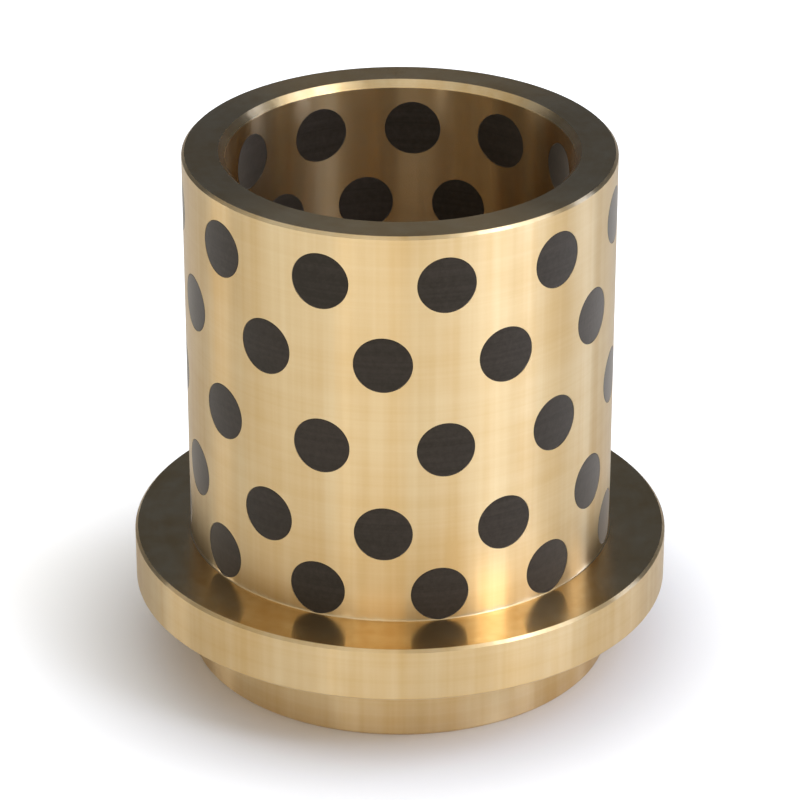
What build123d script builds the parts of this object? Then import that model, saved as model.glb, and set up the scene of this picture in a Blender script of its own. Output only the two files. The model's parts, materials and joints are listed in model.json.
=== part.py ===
"""Graphite plugged bushing: a bronze guide bush turned in one piece, with a long sleeve, a shoulder
flange and a short locating spigot, and solid graphite plugs set through the sleeve's wall in
staggered rings.

Millimetres. The axis is Z, the origin lies on the axis in the spigot's end face, and the front is -Y.
"""
import math
import os

from build123d import *

# Turned body: lengths along the axis
SPIGOT_LENGTH = 13.0
FLANGE_THICKNESS = 10.0
SLEEVE_LENGTH = 72.0

# Turned body: the bore, the walls round it, and how far the flange stands out from the sleeve
BORE_DIAMETER = 60.0
SLEEVE_WALL = 7.5
SPIGOT_WALL = 7.5
FLANGE_STEP = 10.0

# Turned body: edges and corners
BORE_LEAD = 1.2
EDGE_BREAK = 0.5
ROOT_RADIUS = 0.4

# Graphite plugs: cylinders that go right through the wall, flush with it inside and outside
PLUG_DIAMETER = 10.0
PLUG_BOND = 0.02
PLUGS_PER_RING = 11

# Rings of plugs: the first lies this far under the top face, and the last stands this far over the
# flange, measured from the holes' nearest edges. The others lie between them at these parts of the
# way, as they were drilled, which is not quite evenly.
TOP_LAND = 3.9
FLANGE_LAND = 0.1
RING_PLACES = (0.0, 0.248, 0.525, 0.797, 1.0)

# Angles in degrees from the front, counted towards the right
FIRST_PLUG_ANGLE = 12.0
LAST_RING_TURN = -1.5

bore_radius = BORE_DIAMETER / 2
sleeve_radius = bore_radius + SLEEVE_WALL
spigot_radius = bore_radius + SPIGOT_WALL
flange_radius = sleeve_radius + FLANGE_STEP
plug_radius = PLUG_DIAMETER / 2
hole_radius = plug_radius + PLUG_BOND

flange_underside = SPIGOT_LENGTH
flange_face = flange_underside + FLANGE_THICKNESS
top_face = flange_face + SLEEVE_LENGTH

first_ring_height = top_face - TOP_LAND - hole_radius
last_ring_height = flange_face + FLANGE_LAND + hole_radius
ring_heights = [
    first_ring_height + place * (last_ring_height - first_ring_height) for place in RING_PLACES
]
plug_pitch = 360.0 / PLUGS_PER_RING


def turned_blank():
    """The body before it is drilled: half its section, turned about the axis."""
    corners = [
        (bore_radius + BORE_LEAD, 0.0),
        (spigot_radius - EDGE_BREAK, 0.0),
        (spigot_radius, EDGE_BREAK),
        (spigot_radius, flange_underside),
        (flange_radius - EDGE_BREAK, flange_underside),
        (flange_radius, flange_underside + EDGE_BREAK),
        (flange_radius, flange_face - EDGE_BREAK),
        (flange_radius - EDGE_BREAK, flange_face),
        (sleeve_radius, flange_face),
        (sleeve_radius, top_face - EDGE_BREAK),
        (sleeve_radius - EDGE_BREAK, top_face),
        (bore_radius + BORE_LEAD, top_face),
        (bore_radius, top_face - BORE_LEAD),
        (bore_radius, BORE_LEAD),
    ]
    section = make_face(Polyline(*corners, close=True))
    inner_corners = [(spigot_radius, flange_underside), (sleeve_radius, flange_face)]
    roots = [section.vertices().sort_by_distance((*corner, 0.0))[0] for corner in inner_corners]
    return revolve(Plane.XZ * fillet(roots, ROOT_RADIUS), Axis.Z)


def plug_places():
    """Name, height and angle of each plug. Every second ring is turned by half a pitch."""
    places = []
    last_ring = len(ring_heights)
    for ring, height in enumerate(ring_heights, start=1):
        start_angle = FIRST_PLUG_ANGLE
        if ring % 2 == 0:
            start_angle += plug_pitch / 2
        if ring == last_ring:
            start_angle += LAST_RING_TURN
        for number in range(PLUGS_PER_RING):
            name = f"plug_ring{ring}_{number + 1:02d}"
            places.append((name, height, start_angle + number * plug_pitch))
    return places


def radial_rod(radius, height, angle):
    """A rod through the wall, square to the axis, at an angle from the front. Its inner end stops
    halfway to the axis, and its outer end stands as far out past the sleeve."""
    overhang = bore_radius / 2
    length = SLEEVE_WALL + 2 * overhang
    middle = bore_radius + SLEEVE_WALL / 2
    turn = math.radians(angle)
    outwards = (math.sin(turn), -math.cos(turn), 0.0)
    centre = (middle * outwards[0], middle * outwards[1], height)
    return Plane(origin=centre, z_dir=outwards) * Cylinder(radius, length)


def bronze_body(blank, places):
    """The turned blank with a through hole for each plug."""
    return blank - [radial_rod(hole_radius, height, angle) for _, height, angle in places]


def graphite_plug(blank, height, angle):
    """A rod cut to the turned wall, so both its ends are flush with the bore and the sleeve."""
    return blank & radial_rod(plug_radius, height, angle)


def save(shape, name):
    """Writes one piece to its own file."""
    shape.label = name
    export_step(shape, f"parts/{name}.step")


os.makedirs("parts", exist_ok=True)

blank = turned_blank()
places = plug_places()
save(bronze_body(blank, places), "bronze_body")
for name, height, angle in places:
    save(graphite_plug(blank, height, angle), name)
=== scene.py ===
"""Graphite plugged bushing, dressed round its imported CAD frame.

A bronze guide bush turned in one piece, with a long sleeve, a shoulder flange and a short locating
spigot, and solid graphite plugs set through the sleeve's wall in staggered rings. Metres, with the
axis on Z and the front towards -Y.
"""
import json
import math

import bpy
import numpy as np
from bpy.props import FloatProperty, FloatVectorProperty, PointerProperty
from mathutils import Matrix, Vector


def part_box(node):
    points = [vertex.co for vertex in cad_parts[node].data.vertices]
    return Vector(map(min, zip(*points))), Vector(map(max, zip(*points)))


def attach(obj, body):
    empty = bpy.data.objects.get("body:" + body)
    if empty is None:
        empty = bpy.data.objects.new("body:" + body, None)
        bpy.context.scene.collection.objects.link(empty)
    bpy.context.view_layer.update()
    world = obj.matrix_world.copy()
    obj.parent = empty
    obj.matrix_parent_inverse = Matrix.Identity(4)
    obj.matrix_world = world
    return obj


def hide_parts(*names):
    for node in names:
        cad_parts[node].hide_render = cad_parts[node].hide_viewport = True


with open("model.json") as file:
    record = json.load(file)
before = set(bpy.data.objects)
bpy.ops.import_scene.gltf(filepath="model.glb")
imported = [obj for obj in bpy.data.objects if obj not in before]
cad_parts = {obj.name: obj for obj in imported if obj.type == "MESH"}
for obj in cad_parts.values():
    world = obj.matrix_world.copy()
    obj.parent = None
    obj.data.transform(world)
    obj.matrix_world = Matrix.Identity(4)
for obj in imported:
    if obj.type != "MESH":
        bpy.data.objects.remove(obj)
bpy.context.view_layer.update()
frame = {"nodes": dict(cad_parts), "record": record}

bl_info = {
    "name": "Graphite plugged bushing",
    "version": (1, 0, 0),
    "blender": (4, 5, 0),
    "location": "View3D > Sidebar > Bushing",
    "description": "Builds the turned bronze bush, its graphite plugs and the stage round the frame",
    "category": "Object",
}

MM = 0.001
WHITE = (1.0, 1.0, 1.0, 1.0)
BODY_NODE = "bronze_body"
PLUG_PREFIX = "plug_ring"

mounts = {mount["name"]: mount for mount in frame["record"]["mounts"]}
body_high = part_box(BODY_NODE)[1]
plug_nodes = sorted(name for name in frame["nodes"] if name.startswith(PLUG_PREFIX))
plug_low, plug_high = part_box(plug_nodes[0])


def mount_radius(name):
    """A round mount's radius in metres."""
    return mounts[name]["dims"]["r_mm"] * MM


def mount_height(name):
    """How high a mount's centre lies over the spigot's end."""
    return mounts[name]["pos_m"][2]


def linear(code):
    """An sRGB hex colour as three linear values, by the curve of the sRGB standard."""
    channels = [int(code[i:i + 2], 16) / 255 for i in (0, 2, 4)]
    return tuple(c / 12.92 if c <= 0.04045 else ((c + 0.055) / 1.055) ** 2.4 for c in channels)


def length(name, description, default):
    """A size in metres that the panel shows."""
    return FloatProperty(
        name=name, description=description, default=default, min=0, precision=5, unit="LENGTH"
    )


def turn(name, description, degrees):
    """An angle that the panel shows in degrees."""
    return FloatProperty(
        name=name, description=description, default=math.radians(degrees), unit="ROTATION"
    )


def colour(name, description, code):
    """A colour that the panel shows, from its sRGB hex value."""
    return FloatVectorProperty(
        name=name, description=description, default=linear(code), size=3, min=0, max=1,
        subtype="COLOR",
    )


def amount(name, description, default):
    """A plain number that the panel shows."""
    return FloatProperty(name=name, description=description, default=default, min=0)


class BushingSizes(bpy.types.PropertyGroup):
    """Sizes of the turned body and its plugs. Those that the frame holds are read from it."""

    bore_radius: length("Bore radius", "From the axis to the running wall", mount_radius("bore"))
    sleeve_radius: length("Sleeve radius", "From the axis to the pressed wall",
                          mount_radius("sleeve_outside"))
    spigot_radius: length("Spigot radius", "From the axis to the spigot's wall",
                          mount_radius("spigot_outside"))
    flange_radius: length("Flange radius", "From the axis to the flange's rim", body_high.x)
    flange_underside: length("Flange underside", "Its height over the spigot's end",
                             mount_height("flange_underside"))
    flange_face: length("Flange face", "Its height over the spigot's end",
                        mount_height("flange_upper_face"))
    top_face: length("Top face", "Its height over the spigot's end", body_high.z)
    bore_lead: length("Bore lead", "Width of the bevel at both ends of the bore", 1.2 * MM)
    edge_break: length("Edge break", "Width of the bevel on the outer edges", 0.5 * MM)
    root_radius: length("Root radius", "Left by the tool where a wall meets the flange", 0.4 * MM)
    corner_wear: length("Corner wear", "Radius that handling leaves on a bevel's corners", 0.1 * MM)
    plug_radius: length("Plug radius", "Of the graphite rods", (plug_high.z - plug_low.z) / 2)
    plug_bond: length("Plug bond", "Gap between a rod and its hole", 0.02 * MM)
    plug_chip: length("Plug chip", "Mean width of the crumbled edge on a plug's ends", 0.1 * MM)
    first_plug_angle: turn("First plug", "Angle from the front of the first plug", 12.0)
    last_ring_turn: turn("Last ring's turn", "How far the ring at the flange is out of step", -1.5)


class BushingFinish(bpy.types.PropertyGroup):
    """Colours and roughness of the two materials."""

    bronze: colour("Bronze", "Freshly turned, with the light square on it", "EED3A2")
    bronze_warm: colour("Bronze, warm", "Where the film of oil and handling is thicker", "DDB87C")
    wall_roughness: amount("Wall roughness", "Of the outer walls, across the turning marks", 0.32)
    bore_roughness: amount("Bore roughness", "Of the running wall inside", 0.265)
    face_roughness: amount("Face roughness", "Of the faces that were turned square", 0.175)
    graphite: colour("Graphite", "Turned and matte", "261E13")
    graphite_grey: colour("Graphite, grey", "Burnished flakes", "3C3229")
    graphite_roughness: amount("Graphite roughness", "Of the turned end", 0.5)


class BushingStage(bpy.types.PropertyGroup):
    """Camera, floor and light."""

    camera_elevation: turn("Camera elevation", "How steeply it looks down", 26.78)
    camera_distance: length("Camera distance", "From the point that it looks at", 0.6869)
    camera_lens: amount("Camera lens", "Focal length in mm, for a sensor 36 mm wide", 174.6)
    aim_height: length("Aim height", "Of the point that it looks at", 0.0465)
    floor_radius: length("Floor radius", "Of the pale sweep", 6.0)
    floor_colour: colour("Floor", "Pale paper sweep", "F5F2EA")


# Grid of the body's mesh: cells across a plug's tile, cells up its side, and where the rows lie
# between the hole and the tile's border
TILE_CELLS = 24
SIDE_CELLS = 16
TILE_ROWS = np.array([0.0, 0.05, 0.18, 0.4, 0.68, 1.0])

# Points along a rounded corner, and how many times its own length the root's arc counts in a tile
CORNER_STEPS = 5
ROOT_STRETCH = 5.0

# Points of a mesh that lie nearer to each other than this, in metres, become one
MERGE = 1e-7

UP = (0.0, 0.0, 1.0)


def turned(radius, angle, height):
    """Points on a circle about the axis: radius by the sine and minus the cosine of the angle from
    the front, and the height."""
    radius, angle, height = np.broadcast_arrays(radius, angle, height)
    return np.stack([radius * np.sin(angle), -radius * np.cos(angle), height], -1)


def grid_faces(rows, columns, closed):
    """Corner numbers of a grid's cells. A closed grid joins its last column to its first."""
    row, column = np.mgrid[0:rows - 1, 0:columns if closed else columns - 1]
    following = (column + 1) % columns
    start = row * columns
    cells = [start + column, start + following, start + columns + following,
             start + columns + column]
    return np.stack(cells, -1).reshape(-1, 4)


def surface(points, normals, closed=True):
    """A grid of points as a surface whose faces look the way that its normals do."""
    rows, columns = points.shape[:2]
    faces = grid_faces(rows, columns, closed)
    flat = points.reshape(-1, 3)
    facing = np.broadcast_to(normals, points.shape).reshape(-1, 3)
    across = flat[faces[:, 2]] - flat[faces[:, 0]]
    along = flat[faces[:, 3]] - flat[faces[:, 1]]
    if (np.cross(across, along) * facing[faces[:, 0]]).sum() < 0:
        faces = faces[:, ::-1]
    return flat, facing, faces


def joined(name, surfaces):
    """One closed mesh from several surfaces. Points that meet become one, each face's corner keeps
    the normal of its own surface, and a cell that ends in a point becomes a triangle."""
    starts = np.cumsum([0] + [len(flat) for flat, _, _ in surfaces])
    points = np.concatenate([flat for flat, _, _ in surfaces])
    normals = np.concatenate([facing for _, facing, _ in surfaces])
    faces = np.concatenate([faces + start for (_, _, faces), start in zip(surfaces, starts)])
    keys = np.round(points / MERGE).astype(np.int64)
    _, first, same = np.unique(keys, axis=0, return_index=True, return_inverse=True)
    corners = same.reshape(-1)[faces]
    repeated = corners == np.roll(corners, -1, axis=1)
    quads = ~repeated.any(axis=1)
    kept = ~repeated[~quads]
    triangles = corners[~quads][kept].reshape(-1, 3)
    triangle_normals = normals[faces[~quads][kept]].reshape(-1, 3)
    corner_normals = np.concatenate([normals[faces[quads]].reshape(-1, 3), triangle_normals])
    mesh = bpy.data.meshes.new(name)
    mesh.from_pydata(points[first].tolist(), [], corners[quads].tolist() + triangles.tolist(),
                     shade_flat=False)
    mesh.normals_split_custom_set(corner_normals.tolist())
    piece = bpy.data.objects.new(name, mesh)
    bpy.context.scene.collection.objects.link(piece)
    return piece


def rounded(corners, radii):
    """A closed outline with its corners rounded. Each corner becomes an arc that touches both of
    its sides, and a hollow corner's arc curves the other way. Gives the points and outward normals,
    one row of them for each corner, for an outline that runs with the material on its left."""
    corners = np.array(corners)
    radii = np.array(radii)[:, None]
    arrive = corners - np.roll(corners, 1, axis=0)
    arrive /= np.linalg.norm(arrive, axis=1, keepdims=True)
    leave = np.roll(arrive, -1, axis=0)
    bend = np.arctan2(arrive[:, 0] * leave[:, 1] - arrive[:, 1] * leave[:, 0],
                      (arrive * leave).sum(1))[:, None]
    start = corners - arrive * radii * np.tan(np.abs(bend) / 2)
    heading = np.arctan2(-arrive[:, 0], arrive[:, 1])[:, None]
    angle = heading + bend * np.linspace(0, 1, CORNER_STEPS)
    normals = np.stack([np.cos(angle), np.sin(angle)], -1)
    side = (np.sign(bend) * radii)[:, :, None]
    return start[:, None] + side * (normals - normals[:, :1]), normals


def half_section(sizes):
    """The body's section from the axis outwards, as rounded() gives it. The corners run from the
    bore's lower mouth round the spigot and flange, up the sleeve, over the top face and down the
    bore."""
    s = sizes
    lead, edge, wear, root = s.bore_lead, s.edge_break, s.corner_wear, s.root_radius
    outline = [
        (s.bore_radius + lead, 0.0, wear),
        (s.spigot_radius - edge, 0.0, wear),
        (s.spigot_radius, edge, wear),
        (s.spigot_radius, s.flange_underside, root),
        (s.flange_radius - edge, s.flange_underside, wear),
        (s.flange_radius, s.flange_underside + edge, wear),
        (s.flange_radius, s.flange_face - edge, wear),
        (s.flange_radius - edge, s.flange_face, wear),
        (s.sleeve_radius, s.flange_face, root),
        (s.sleeve_radius, s.top_face - edge, wear),
        (s.sleeve_radius - edge, s.top_face, wear),
        (s.bore_radius + lead, s.top_face, wear),
        (s.bore_radius, s.top_face - lead, wear),
        (s.bore_radius, lead, wear),
    ]
    return rounded([corner[:2] for corner in outline], [corner[2] for corner in outline])


# Places in half_section()'s outline, where the sleeve's wall and the bore's wall begin
ROOT_CORNER = 8
BORE_FOOT_CORNER = 13


def turned_band(points, normals, angles):
    """The section's points turned about the axis."""
    radius, height = points[:, None, 0], points[:, None, 1]
    level = turned(normals[:, None, 0], angles, normals[:, None, 1])
    return surface(turned(radius, angles, height), level)


def sleeve_wall(sizes, along):
    """Radius, height and normal of the sleeve's outside, at a distance along it from the top of its
    root. Under that the root's quarter circle is drawn out, so that a tile has cells across it."""
    sweep = np.clip(-along / (sizes.root_radius * ROOT_STRETCH), 0, math.pi / 2)
    root_top = sizes.flange_face + sizes.root_radius
    radius = sizes.sleeve_radius + sizes.root_radius * (1 - np.cos(sweep))
    height = root_top + np.maximum(along, 0) - sizes.root_radius * np.sin(sweep)
    return radius, height, np.cos(sweep), np.sin(sweep)


def along_sleeve(sizes, height):
    """The distance along the sleeve's outside at a height: sleeve_wall() the other way round."""
    over_root = height - sizes.flange_face - sizes.root_radius
    share = np.clip(-over_root / sizes.root_radius, 0, 1)
    return np.maximum(over_root, 0) - np.arcsin(share) * sizes.root_radius * ROOT_STRETCH


def bore_wall(sizes, along):
    """Radius, height and normal of the bore, whose distance along it is its height."""
    level = np.ones_like(along)
    return sizes.bore_radius * level, along, -level, 0 * level


def along_bore(sizes, height):
    """The distance along the bore at a height: the height itself."""
    return height


class PlugPlace:
    """Where a plug lies: its ring, height and angle, and the first cell of the tile of wall round
    it. Every second ring is turned by half a pitch."""

    def __init__(self, node, sizes):
        self.ring, number = ring_and_number(node)
        low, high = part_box(node)
        self.height = (low.z + high.z) / 2
        in_ring = sum(ring_and_number(name)[0] == self.ring for name in plug_nodes)
        self.pitch = 2 * math.pi / in_ring
        half_pitch = TILE_CELLS // 2 if self.ring % 2 == 0 else 0
        self.first_cell = (number - 1) * TILE_CELLS + half_pitch
        self.angle = cell_angle(sizes, self.pitch, self.first_cell + TILE_CELLS / 2)
        if self.ring == last_ring():
            self.angle += sizes.last_ring_turn

    def outwards(self):
        """Unit vector along the plug, away from the axis."""
        return np.array([math.sin(self.angle), -math.cos(self.angle), 0.0])

    def sideways(self):
        """Unit vector across the plug, the way that angles grow."""
        return np.array([math.cos(self.angle), math.sin(self.angle), 0.0])

    def from_rod(self, around):
        """Unit vectors square to the plug's own axis, one for each angle round it."""
        return np.cos(around)[:, None] * self.sideways() + np.sin(around)[:, None] * UP


def ring_and_number(node):
    """The ring that a plug belongs to and its number there, from its node's name."""
    ring, number = node[len(PLUG_PREFIX):].split("_")
    return int(ring), int(number)


def cell_angle(sizes, pitch, cell):
    """The angle of a cell's border. Cells are counted from half a pitch before the first plug."""
    return sizes.first_plug_angle + (cell / TILE_CELLS - 0.5) * pitch


def last_ring():
    """The number of the ring at the flange."""
    return max(ring_and_number(name)[0] for name in plug_nodes)


def tile_border(angle_low, angle_high, low, high):
    """Angles and distances of a tile's border, once round from its lower left corner."""
    across = np.linspace(0, 1, TILE_CELLS, endpoint=False)
    up = np.linspace(0, 1, SIDE_CELLS, endpoint=False)
    angle_share = np.concatenate([across, np.ones(SIDE_CELLS), 1 - across, np.zeros(SIDE_CELLS)])
    high_share = np.concatenate([np.zeros(TILE_CELLS), up, np.ones(TILE_CELLS), 1 - up])
    angles = angle_low + angle_share * (angle_high - angle_low)
    return angles, low + high_share * (high - low)


def tile(sizes, place, wall, along_wall, low, high, spokes=None):
    """The wall round one hole. Its inner line is the hole's edge, a circle across the rod laid on
    the wall, and its outer line a rectangle of angle and distance. Rows lie between them at
    TILE_ROWS. Gives the surface, the hole's edge and the spokes, which are the rod's own angles of
    its points."""
    angle_low = cell_angle(sizes, place.pitch, place.first_cell)
    angle_high = cell_angle(sizes, place.pitch, place.first_cell + TILE_CELLS)
    border_angles, border_along = tile_border(angle_low, angle_high, low, high)
    if spokes is None:
        rise = border_along - along_wall(sizes, np.array(place.height))
        spokes = np.arctan2(rise, sizes.sleeve_radius * (border_angles - place.angle))
    hole_radius = sizes.plug_radius + sizes.plug_bond
    hole_height = place.height + hole_radius * np.sin(spokes)
    hole_along = along_wall(sizes, hole_height)
    radius_there = wall(sizes, hole_along)[0]
    hole_angles = place.angle + np.arcsin(hole_radius * np.cos(spokes) / radius_there)
    rows = TILE_ROWS[:, None]
    angles = hole_angles + rows * (border_angles - hole_angles)
    radius, height, level, rise = wall(sizes, hole_along + rows * (border_along - hole_along))
    points = turned(radius, angles, height)
    return surface(points, turned(level, angles, rise)), points[0], spokes


def hole_wall(place, outer_edge, inner_edge, spokes):
    """The drilled hole: straight lines from its edge on the sleeve to its edge in the bore."""
    return surface(np.stack([outer_edge, inner_edge]), -place.from_rod(spokes))


def ring_borders(places, low, high):
    """For each ring the lower and upper border of its tiles, halfway to its neighbours."""
    heights = {place.ring: place.height for place in places}
    rings = sorted(heights)
    tops = [high] + [(heights[a] + heights[b]) / 2 for a, b in zip(rings, rings[1:])]
    feet = tops[1:] + [low]
    return {ring: (foot, top) for ring, foot, top in zip(rings, feet, tops)}


def body_surfaces(sizes, places):
    """All surfaces of the drilled body: two turned bands, and both walls with their holes. The
    lower band runs from the foot of the bore's tiles round the spigot and flange to the root, and
    the upper one over the top face. The bore's tiles end as far under the last ring as they reach
    over it."""
    points, normals = half_section(sizes)
    cells = TILE_CELLS * round(2 * math.pi / places[0].pitch)
    angles = cell_angle(sizes, places[0].pitch, np.arange(cells))
    last_height = min(place.height for place in places)
    bore_foot = 2 * last_height - ring_borders(places, 0, 0)[last_ring()][1]
    foot_point, foot_normal = [(sizes.bore_radius, bore_foot)], [(-1.0, 0.0)]
    order = [BORE_FOOT_CORNER, *range(ROOT_CORNER)]
    lower_points = np.concatenate([foot_point, *points[order], points[ROOT_CORNER, :1]])
    lower_normals = np.concatenate([foot_normal, *normals[order], normals[ROOT_CORNER, :1]])
    upper = slice(ROOT_CORNER + 1, BORE_FOOT_CORNER)
    surfaces = [
        turned_band(lower_points, lower_normals, angles),
        turned_band(points[upper].reshape(-1, 2), normals[upper].reshape(-1, 2), angles),
    ]
    sleeve_end = points[ROOT_CORNER + 1, 0, 1]
    bore_end = points[BORE_FOOT_CORNER - 1, -1, 1]
    outside = ring_borders(places, sizes.flange_face, sleeve_end)
    inside = ring_borders(places, bore_foot, bore_end)
    for place in places:
        low, high = along_sleeve(sizes, np.array(outside[place.ring]))
        outer, outer_edge, spokes = tile(sizes, place, sleeve_wall, along_sleeve, low, high)
        low, high = inside[place.ring]
        inner, inner_edge, _ = tile(sizes, place, bore_wall, along_bore, low, high, spokes)
        surfaces += [outer, inner, hole_wall(place, outer_edge, inner_edge, spokes)]
    return surfaces


# Grid of a plug: points round it, and where the rows of an end lie from its middle to its edge
PLUG_CELLS = 64
PLUG_ROWS = np.array([0.0, 0.3, 0.55, 0.75, 0.9, 1.0])

# Waves in a plug's crumbled edge: how many go round it, and their height as a part of its width
CHIP_WAVES = ((3, 0.25), (8, 0.25), (17, 0.2), (29, 0.15))


def chipped_edge(width, number):
    """Width of the crumbled edge round a plug: the mean width with a few waves on it, which start
    at other angles on each plug."""
    around = np.linspace(0, 2 * math.pi, PLUG_CELLS, endpoint=False)
    starts = np.random.default_rng(number).uniform(0, 2 * math.pi, len(CHIP_WAVES))
    swing = sum(share * np.sin(count * around + start)
                for (count, share), start in zip(CHIP_WAVES, starts))
    return around, width * (1 + swing)


def plug_end(sizes, place, wall, along_wall, chip_number, side):
    """One end of a plug. The end lies in the turned wall, so a point that is x across the rod
    stands at the root of the wall's radius squared less x squared from the axis. The last row is
    the foot of the chipped edge."""
    around, chip = chipped_edge(sizes.plug_chip, chip_number)
    reach = (sizes.plug_radius - chip) * PLUG_ROWS[:, None]
    across = np.vstack([reach * np.cos(around), sizes.plug_radius * np.cos(around)])
    rise = np.vstack([reach * np.sin(around), sizes.plug_radius * np.sin(around)])
    radius, height, level, lift = wall(sizes, along_wall(sizes, place.height + rise))
    out = np.sqrt(radius ** 2 - across ** 2)
    face_out = out.copy()
    face_out[-1] -= side * chip
    points = (face_out[:, :, None] * place.outwards() + across[:, :, None] * place.sideways()
              + height[:, :, None] * UP)
    normals = ((level * out / radius)[:, :, None] * place.outwards()
               + (level * across / radius)[:, :, None] * place.sideways()
               + lift[:, :, None] * UP)
    return points, normals, around


def plug_surfaces(sizes, place, number):
    """Both ends of a plug with their chipped edges, and its side."""
    outer, outer_normals, around = plug_end(sizes, place, sleeve_wall, along_sleeve, 2 * number, 1)
    inner, inner_normals, _ = plug_end(sizes, place, bore_wall, along_bore, 2 * number + 1, -1)
    round_rod = place.from_rod(around)
    surfaces = [surface(outer[:-1], outer_normals[:-1]), surface(inner[:-1], inner_normals[:-1])]
    for points, normals in ((outer, outer_normals), (inner, inner_normals)):
        slope = normals[-2] + round_rod
        slope /= np.linalg.norm(slope, axis=1, keepdims=True)
        surfaces.append(surface(points[-2:], np.stack([slope, slope])))
    surfaces.append(surface(np.stack([outer[-1], inner[-1]]), round_rod))
    return surfaces


def add_node(tree, kind, settings=(), links=()):
    """Adds a node with its settings and links. A setting names a property of the node, or an input
    by its number. A link joins an input, by its name or number, to an output of another node."""
    node = tree.nodes.new(kind)
    for name, value in dict(settings).items():
        if isinstance(name, int):
            node.inputs[name].default_value = value
        elif hasattr(node, name):
            setattr(node, name, value)
        else:
            node.inputs[name].default_value = value
    for name, output in dict(links).items():
        tree.links.new(node.inputs[name], output)
    return node


def new_material(name):
    """An empty node material."""
    material = bpy.data.materials.new(name)
    material.use_nodes = True
    material.node_tree.nodes.clear()
    return material, material.node_tree


def turning(tree):
    """What the lathe leaves everywhere on the bush: the direction of its marks, which run round the
    axis, and the place across them, which is the distance from the axis and the height."""
    place = add_node(tree, "ShaderNodeTexCoord").outputs["Object"]
    split = add_node(tree, "ShaderNodeSeparateXYZ", links={0: place})
    level = add_node(tree, "ShaderNodeVectorMath", {"operation": "MULTIPLY", 1: (1, 1, 0)},
                     {0: place})
    direction = add_node(tree, "ShaderNodeVectorMath", {"operation": "CROSS_PRODUCT", 0: UP},
                         {1: level.outputs[0]})
    tangent = add_node(tree, "ShaderNodeVectorMath", {"operation": "NORMALIZE"},
                       {0: direction.outputs[0]})
    radius = add_node(tree, "ShaderNodeVectorMath", {"operation": "LENGTH"}, {0: level.outputs[0]})
    across = add_node(tree, "ShaderNodeCombineXYZ",
                      links={"X": radius.outputs["Value"], "Z": split.outputs["Z"]})
    return place, tangent.outputs[0], across.outputs[0], radius.outputs["Value"]


# A turned surface scatters light across its marks, so the shader's stretch is turned off the marks'
# own direction by this part of a whole turn.
QUARTER_TURN = 0.25

# The tool's feed leaves marks about 0.15 mm apart, which a picture of the whole bush can't show, so
# they are drawn 0.9 mm apart with finer ones between
FEED_MARK = 0.9 * MM
FEED_DEPTH = 0.005 * MM

# The chatter runs along the sleeve in flutes about 2 mm wide, which change this much more slowly
# along the axis than round it. They are drawn deeper than real ones, so that they show.
CHATTER_WIDTH = 2.2 * MM
CHATTER_DEPTH = 0.035 * MM
FLUTE_STRETCH = 0.02

# The film of oil lies in patches, in bands where the tool paused, which count less, and in streaks
# where a cloth wiped it along the axis. The three add up, and these sums give the thinnest film
# and the thickest.
TONE_PATCH = 22 * MM
TONE_BAND = 1.6 * MM
BAND_SHARE = 0.45
WIPE_WIDTH = 3.5 * MM
FILM_THIN = 0.9
FILM_THICK = 1.55

# The finish of the faces begins and is full where a surface's normal rises to these heights. The
# flutes end there, since a face that was turned square has only the rings of the feed.
FACE_START = 0.75
FACE_FULL = 0.95


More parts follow.
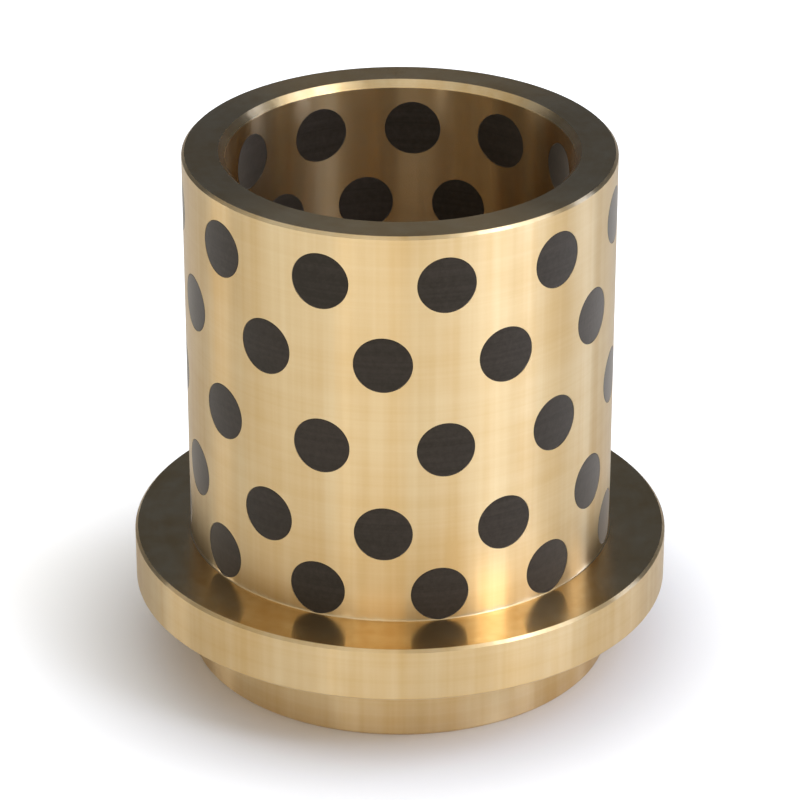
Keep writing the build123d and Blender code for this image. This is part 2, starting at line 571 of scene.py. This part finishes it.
def turned_bronze(finish, sizes):
    """Cast tin bronze, fine turned and bright. A metal, so all that it shows is what it mirrors, in
    its own gold. The turning marks smear that up and down a wall into soft streaks, and leave it
    sharp from side to side."""
    material, tree = new_material("fine_turned_bronze")
    place, tangent, across, radius = turning(tree)
    feed = add_node(tree, "ShaderNodeTexNoise", {
        "Scale": 1 / FEED_MARK, "Detail": 3.0, "Roughness": 0.6,
    }, {"Vector": across})
    flutes = add_node(tree, "ShaderNodeMapping", {3: (1, 1, FLUTE_STRETCH)}, {0: place})
    chatter = add_node(tree, "ShaderNodeTexNoise", {"Scale": 1 / CHATTER_WIDTH, "Detail": 1.0},
                       {"Vector": flutes.outputs[0]})
    facing = add_node(tree, "ShaderNodeSeparateXYZ",
                      links={0: add_node(tree, "ShaderNodeNewGeometry").outputs["Normal"]})
    flat = add_node(tree, "ShaderNodeMath", {"operation": "ABSOLUTE"}, {0: facing.outputs["Z"]})
    on_walls = add_node(tree, "ShaderNodeMapRange", {
        "From Min": FACE_START, "From Max": FACE_FULL, "To Min": 1.0, "To Max": 0.0,
    }, {"Value": flat.outputs[0]})
    fine = add_node(tree, "ShaderNodeBump", {"Strength": 1.0, "Distance": FEED_DEPTH},
                    {"Height": feed.outputs["Fac"]})
    relief = add_node(tree, "ShaderNodeBump", {"Distance": CHATTER_DEPTH}, {
        "Strength": on_walls.outputs[0], "Height": chatter.outputs["Fac"],
        "Normal": fine.outputs[0],
    })
    patch = add_node(tree, "ShaderNodeTexNoise", {"Scale": 1 / TONE_PATCH, "Detail": 3.0},
                     {"Vector": place})
    bands = add_node(tree, "ShaderNodeTexNoise", {
        "Scale": 1 / TONE_BAND, "Detail": 4.0, "Roughness": 0.7,
    }, {"Vector": across})
    wiped = add_node(tree, "ShaderNodeTexNoise", {
        "Scale": 1 / WIPE_WIDTH, "Detail": 3.0, "Roughness": 0.6,
    }, {"Vector": flutes.outputs[0]})
    level_film = add_node(tree, "ShaderNodeMath", {"operation": "MULTIPLY_ADD", 1: BAND_SHARE},
                          {0: bands.outputs["Fac"], 2: patch.outputs["Fac"]})
    film = add_node(tree, "ShaderNodeMath", {"operation": "ADD"},
                    {0: level_film.outputs[0], 1: wiped.outputs["Fac"]})
    share = add_node(tree, "ShaderNodeMapRange", {"From Min": FILM_THIN, "From Max": FILM_THICK},
                     {"Value": film.outputs[0]})
    tone = add_node(tree, "ShaderNodeMix", {"data_type": "RGBA", 6: (*finish.bronze, 1),
                                            7: (*finish.bronze_warm, 1)},
                    {0: share.outputs[0]})
    outside = add_node(tree, "ShaderNodeMapRange", {
        "From Min": sizes.bore_radius, "From Max": sizes.bore_radius + sizes.bore_lead,
        "To Min": finish.bore_roughness, "To Max": finish.wall_roughness,
    }, {"Value": radius})
    roughness = add_node(tree, "ShaderNodeMapRange", {
        "From Min": FACE_START, "From Max": FACE_FULL, "To Max": finish.face_roughness,
    }, {"Value": flat.outputs[0], "To Min": outside.outputs[0]})
    shader = add_node(tree, "ShaderNodeBsdfPrincipled", {
        "Metallic": 1.0, "Anisotropic": 1.0, "Anisotropic Rotation": QUARTER_TURN,
    }, {"Base Color": tone.outputs[2], "Roughness": roughness.outputs[0],
        "Normal": relief.outputs[0], "Tangent": tangent})
    add_node(tree, "ShaderNodeOutputMaterial", links={"Surface": shader.outputs[0]})
    return material


# Pressed grains of graphite are about 0.3 mm across, and are drawn 0.9 mm wide to show in a picture
# of the whole bush. Each rod comes from another pressing, so its tone differs a little. The noises
# of the grains, the rods and the feed marks add up, and these sums give the darkest tone and the
# greyest.
FLAKE = 0.9 * MM
FLAKE_DEPTH = 0.02 * MM
PLUG_TONE_PATCH = 30 * MM
TONE_DARKEST = 1.25
TONE_GREYEST = 1.95

# The gloss of the turned ends, matched to the photograph: weaker than an index of 1.5 gives,
# because the pores swallow light, smeared half as far as the bronze's, and a little warm. The sheen
# is that of the finest flakes.
GRAPHITE_IOR = 1.33
GRAPHITE_SMEAR = 0.5
GRAPHITE_GLOSS = (1.0, 0.93, 0.8, 1.0)
SHEEN_WEIGHT = 0.62
SHEEN_ROUGHNESS = 0.4
SHEEN_TINT = (1.0, 0.89, 0.73, 1.0)


def turned_graphite(finish):
    """Pressed graphite, turned flush with the bronze. Dark and matte with a faint grey sheen, from
    flakes that the tool has burnished."""
    material, tree = new_material("pressed_graphite")
    place, tangent, across, _ = turning(tree)
    flakes = add_node(tree, "ShaderNodeTexNoise", {
        "Scale": 1 / FLAKE, "Detail": 3.0, "Roughness": 0.7,
    }, {"Vector": place})
    feed = add_node(tree, "ShaderNodeTexNoise", {
        "Scale": 1 / FEED_MARK, "Detail": 3.0, "Roughness": 0.6,
    }, {"Vector": across})
    batch = add_node(tree, "ShaderNodeTexNoise", {"Scale": 1 / PLUG_TONE_PATCH}, {"Vector": place})
    mottle = add_node(tree, "ShaderNodeMath", {"operation": "ADD"},
                      {0: flakes.outputs["Fac"], 1: batch.outputs["Fac"]})
    streaked = add_node(tree, "ShaderNodeMath", {"operation": "ADD"},
                        {0: mottle.outputs[0], 1: feed.outputs["Fac"]})
    share = add_node(tree, "ShaderNodeMapRange", {
        "From Min": TONE_DARKEST, "From Max": TONE_GREYEST,
    }, {"Value": streaked.outputs[0]})
    tone = add_node(tree, "ShaderNodeMix", {"data_type": "RGBA", 6: (*finish.graphite, 1),
                                            7: (*finish.graphite_grey, 1)},
                    {0: share.outputs[0]})
    fine = add_node(tree, "ShaderNodeBump", {"Strength": 1.0, "Distance": FEED_DEPTH},
                    {"Height": feed.outputs["Fac"]})
    relief = add_node(tree, "ShaderNodeBump", {"Strength": 1.0, "Distance": FLAKE_DEPTH},
                      {"Height": flakes.outputs["Fac"], "Normal": fine.outputs[0]})
    shader = add_node(tree, "ShaderNodeBsdfPrincipled", {
        "Metallic": 0.0, "Roughness": finish.graphite_roughness, "IOR": GRAPHITE_IOR,
        "Anisotropic": GRAPHITE_SMEAR, "Anisotropic Rotation": QUARTER_TURN,
        "Specular Tint": GRAPHITE_GLOSS, "Sheen Weight": SHEEN_WEIGHT,
        "Sheen Roughness": SHEEN_ROUGHNESS, "Sheen Tint": SHEEN_TINT,
    }, {"Base Color": tone.outputs[2], "Normal": relief.outputs[0], "Tangent": tangent})
    add_node(tree, "ShaderNodeOutputMaterial", links={"Surface": shader.outputs[0]})
    return material


# How brightly the paper glows: to the camera, and in what the metal mirrors, where the front of the
# sweep glows more than the back. That extra glow in front is painted light, a pool of it on the
# paper that only the metal shows
SEEN_GLOW = 0.7
FRONT_GLOW = 0.6
BACK_GLOW = 0.18

# Where a glow begins and where it is full, in metres: the front's by the place along Y, and both
# others by the distance from the axis. Their fade towards the axis is a painted shadow round the
# bush, to the camera and in what the metal mirrors, since the paper doesn't glow under the bush
FRONT_REACH = (0.05, -0.19)
SEEN_PAINTED_SHADOW = (0.035, 0.09)
MIRRORED_PAINTED_SHADOW = (0.0, 0.18)

# Grid of the floor's disc
FLOOR_RINGS = 9
FLOOR_CELLS = 96


def paper_sweep(stage):
    """Matte pale paper, which keeps the object's shadow. What the camera and the metal see of it is
    lifted by a little glow of its own, which doesn't light the object. The glow fades out towards
    the axis, a painted shadow round the bush, and is stronger at the front, painted light that only
    the metal mirrors."""
    material, tree = new_material("pale_paper")
    paper = add_node(tree, "ShaderNodeBsdfDiffuse", {"Color": (*stage.floor_colour, 1)})
    place = add_node(tree, "ShaderNodeTexCoord").outputs["Object"]
    depth = add_node(tree, "ShaderNodeSeparateXYZ", links={0: place}).outputs["Y"]
    distance = add_node(tree, "ShaderNodeVectorMath", {"operation": "LENGTH"}, {0: place})
    rays = add_node(tree, "ShaderNodeLightPath").outputs
    mirrored = add_node(tree, "ShaderNodeMath", {"operation": "MAXIMUM"},
                        {0: rays["Is Glossy Ray"], 1: rays["Is Transmission Ray"]})
    # Painted light: the glow that the metal mirrors grows towards the front of the sweep
    painted_front_light = add_node(tree, "ShaderNodeMapRange", {
        "interpolation_type": "SMOOTHSTEP", "From Min": FRONT_REACH[0], "From Max": FRONT_REACH[1],
        "To Min": BACK_GLOW, "To Max": FRONT_GLOW,
    }, {"Value": depth})
    # Masks of the painted shadow round the bush: no glow near the axis, full glow farther out
    seen_past_painted_shadow, mirrored_past_painted_shadow = [add_node(tree, "ShaderNodeMapRange", {
        "interpolation_type": "SMOOTHSTEP", "From Min": start, "From Max": full,
    }, {"Value": distance.outputs["Value"]}) for start, full in (SEEN_PAINTED_SHADOW, MIRRORED_PAINTED_SHADOW)]
    in_metal = add_node(tree, "ShaderNodeMath", {"operation": "MULTIPLY"},
                        {0: mirrored_past_painted_shadow.outputs[0], 1: painted_front_light.outputs[0]})
    to_metal = add_node(tree, "ShaderNodeMath", {"operation": "MULTIPLY"},
                        {0: mirrored.outputs[0], 1: in_metal.outputs[0]})
    to_camera = add_node(tree, "ShaderNodeMath", {"operation": "MULTIPLY", 1: SEEN_GLOW},
                         {0: seen_past_painted_shadow.outputs[0]})
    lift = add_node(tree, "ShaderNodeMath", {"operation": "MULTIPLY_ADD"}, {
        0: rays["Is Camera Ray"], 1: to_camera.outputs[0], 2: to_metal.outputs[0],
    })
    glow = add_node(tree, "ShaderNodeEmission", {"Color": WHITE}, {"Strength": lift.outputs[0]})
    both = add_node(tree, "ShaderNodeAddShader", links={0: paper.outputs[0], 1: glow.outputs[0]})
    add_node(tree, "ShaderNodeOutputMaterial", links={"Surface": both.outputs[0]})
    return material


def floor_disc(stage, material):
    """The floor: a disc about the axis, at the height of the spigot's end. Its rings' radii grow
    with the square of their number."""
    radius = stage.floor_radius * np.linspace(0, 1, FLOOR_RINGS)[:, None] ** 2
    angles = np.linspace(0, 2 * math.pi, FLOOR_CELLS, endpoint=False)
    points = turned(radius, angles, 0.0 * radius)
    floor = joined("floor", [surface(points, UP)])
    floor.data.materials.append(material)


# What the room shows the metal, as linear colours: its back, and its two banks of light
ROOM_DARK = (0.077, 0.09, 0.122, 1)
ROOM_FRONT = (0.34, 0.35, 0.37, 1)
ROOM_TOP = (0.78, 0.8, 0.84, 1)

# Where each bank of light begins and is full: the front one by the Y of the direction that it is
# seen in, and the top one by the Z
FRONT_BANK = (0.55, 0.0)
TOP_BANK = (0.6, 0.85)


def studio_world():
    """The room over the sweep: dark behind the bush, with a soft bank of light in front of it and a
    brighter one overhead. The camera sees it white."""
    world = bpy.data.worlds.new("studio")
    bpy.context.scene.world = world
    world.use_nodes = True
    tree = world.node_tree
    tree.nodes.clear()
    place = add_node(tree, "ShaderNodeTexCoord").outputs["Generated"]
    split = add_node(tree, "ShaderNodeSeparateXYZ", links={0: place})
    front = add_node(tree, "ShaderNodeMapRange", {
        "interpolation_type": "SMOOTHSTEP", "From Min": FRONT_BANK[0], "From Max": FRONT_BANK[1],
    }, {"Value": split.outputs["Y"]})
    top = add_node(tree, "ShaderNodeMapRange", {
        "interpolation_type": "SMOOTHSTEP", "From Min": TOP_BANK[0], "From Max": TOP_BANK[1],
    }, {"Value": split.outputs["Z"]})
    walls = add_node(tree, "ShaderNodeMix", {"data_type": "RGBA", 6: ROOM_DARK, 7: ROOM_FRONT},
                     {0: front.outputs[0]})
    room = add_node(tree, "ShaderNodeMix", {"data_type": "RGBA", 7: ROOM_TOP},
                    {0: top.outputs[0], 6: walls.outputs[2]})
    rays = add_node(tree, "ShaderNodeLightPath")
    seen = add_node(tree, "ShaderNodeMix", {"data_type": "RGBA", 7: WHITE},
                    {0: rays.outputs["Is Camera Ray"], 6: room.outputs[2]})
    sky = add_node(tree, "ShaderNodeBackground", links={"Color": seen.outputs[2]})
    add_node(tree, "ShaderNodeOutputWorld", links={"Surface": sky.outputs[0]})


def compass(azimuth, elevation, distance, centre):
    """A point at an azimuth from the front towards the right, an elevation and a distance."""
    a, e = math.radians(azimuth), math.radians(elevation)
    away = Vector((math.sin(a) * math.cos(e), -math.cos(a) * math.cos(e), math.sin(e)))
    return centre + distance * away


# The lamps' whites, each a little cooler than the one before, because the bronze adds its own gold
SOFT_WHITE = (0.98, 1.0, 1.1)
COOL_WHITE = (0.89, 1.0, 1.3)
LOW_WHITE = (0.82, 1.0, 1.6)

# Each lamp's distance from the bush, the azimuths and elevations in degrees that it fills as the
# bush sees it, its brightness, where 1 is white, and its colour
LAMPS = {
    "key_box": (0.9, (38, 104), (38, 64), 1.65, COOL_WHITE),
    "right_strip": (0.98, (61, 71), (4, 12), 3.9, LOW_WHITE),
    "foot_box": (0.96, (46, 64), (30, 45), 5.0, COOL_WHITE),
    "right_card": (1.0, (16, 100), (-2.5, 9), 0.5, LOW_WHITE),
    "side_box": (1.0, (102, 114), (4, 32), 1.9, LOW_WHITE),
    "front_box": (0.98, (-24, 2), (20, 36), 1.35, SOFT_WHITE),
    "left_strip": (0.98, (-30, -24), (4, 12), 2.9, SOFT_WHITE),
    "left_card": (1.0, (-109, -94), (-2.5, 9), 2.0, SOFT_WHITE),
}

# Watts for each square metre of a rectangular lamp that looks as bright as white
WHITE_LAMP = 4

# The nearest and the farthest that the camera sees, in metres
CAMERA_REACH = (0.01, 50)


def softbox(name, centre, distance, azimuths, elevations, brightness, white):
    """A rectangular lamp that faces the object and fills a range of azimuths and elevations."""
    azimuth, elevation = sum(azimuths) / 2, sum(elevations) / 2
    lamp = bpy.data.lights.new(name, "AREA")
    lamp.shape = "RECTANGLE"
    reach = distance * math.cos(math.radians(elevation))
    lamp.size = 2 * reach * math.tan(math.radians(azimuths[1] - azimuths[0]) / 2)
    lamp.size_y = 2 * distance * math.tan(math.radians(elevations[1] - elevations[0]) / 2)
    lamp.energy = WHITE_LAMP * lamp.size * lamp.size_y * brightness
    lamp.color = white
    box = bpy.data.objects.new(name, lamp)
    box.location = compass(azimuth, elevation, distance, centre)
    box.rotation_euler = (centre - box.location).to_track_quat("-Z", "Y").to_euler()
    box.visible_camera = False
    bpy.context.scene.collection.objects.link(box)


def place_camera(stage):
    """The camera on the photograph's line of sight, as far off as its perspective says."""
    lens = bpy.data.cameras.new("camera")
    lens.lens = stage.camera_lens
    lens.clip_start, lens.clip_end = CAMERA_REACH
    aim = Vector((0, 0, stage.aim_height))
    camera = bpy.data.objects.new("camera", lens)
    camera.location = compass(0, math.degrees(stage.camera_elevation), stage.camera_distance, aim)
    camera.rotation_euler = (aim - camera.location).to_track_quat("-Z", "Y").to_euler()
    bpy.context.scene.collection.objects.link(camera)
    bpy.context.scene.camera = camera


class BUSHING_OT_body(bpy.types.Operator):
    """Build the turned and drilled bronze body"""

    bl_idname = "object.bushing_body"
    bl_label = "Bronze body"

    def execute(self, context):
        sizes = context.scene.bushing_sizes
        places = [PlugPlace(node, sizes) for node in plug_nodes]
        body = joined("turned_bronze_body", body_surfaces(sizes, places))
        body.data.materials.append(turned_bronze(context.scene.bushing_finish, sizes))
        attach(body, "root")
        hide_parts(BODY_NODE)
        return {"FINISHED"}


class BUSHING_OT_plugs(bpy.types.Operator):
    """Build the graphite plugs, each with its own chipped edges"""

    bl_idname = "object.bushing_plugs"
    bl_label = "Graphite plugs"

    def execute(self, context):
        sizes = context.scene.bushing_sizes
        material = turned_graphite(context.scene.bushing_finish)
        for number, node in enumerate(plug_nodes):
            place = PlugPlace(node, sizes)
            plug = joined(node.replace(PLUG_PREFIX, "graphite_plug_ring"),
                          plug_surfaces(sizes, place, number))
            plug.data.materials.append(material)
            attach(plug, "root")
            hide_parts(node)
        return {"FINISHED"}


class BUSHING_OT_stage(bpy.types.Operator):
    """Set up the pale floor, the studio's light and the camera"""

    bl_idname = "object.bushing_stage"
    bl_label = "Stage"

    def execute(self, context):
        stage = context.scene.bushing_stage
        floor_disc(stage, paper_sweep(stage))
        studio_world()
        centre = Vector((0, 0, stage.aim_height))
        for name, lamp in LAMPS.items():
            softbox(name, centre, *lamp)
        place_camera(stage)
        context.scene.view_settings.view_transform = "Standard"
        return {"FINISHED"}


class BUSHING_PT_panel(bpy.types.Panel):
    """The bushing's sizes, finish and build steps"""

    bl_idname = "BUSHING_PT_panel"
    bl_label = "Graphite plugged bushing"
    bl_space_type = "VIEW_3D"
    bl_region_type = "UI"
    bl_category = "Bushing"

    def draw(self, context):
        for group in (context.scene.bushing_sizes, context.scene.bushing_finish,
                      context.scene.bushing_stage):
            box = self.layout.box()
            for name in group.__annotations__:
                box.prop(group, name)
        for operator in OPERATORS:
            self.layout.operator(operator.bl_idname)


GROUPS = {
    "bushing_sizes": BushingSizes,
    "bushing_finish": BushingFinish,
    "bushing_stage": BushingStage,
}
OPERATORS = (BUSHING_OT_body, BUSHING_OT_plugs, BUSHING_OT_stage)
CLASSES = (*GROUPS.values(), *OPERATORS, BUSHING_PT_panel)


def register():
    """Registers the classes and puts the three groups of settings on the scene."""
    for one_class in CLASSES:
        bpy.utils.register_class(one_class)
    for name, group in GROUPS.items():
        setattr(bpy.types.Scene, name, PointerProperty(type=group))


def unregister():
    """Takes back what register() did."""
    for name in GROUPS:
        delattr(bpy.types.Scene, name)
    for one_class in reversed(CLASSES):
        bpy.utils.unregister_class(one_class)


def main():
    """Builds the pieces and the stage in order."""
    register()
    bpy.ops.object.bushing_body()
    bpy.ops.object.bushing_plugs()
    bpy.ops.object.bushing_stage()


if __name__ == "__main__":
    main()
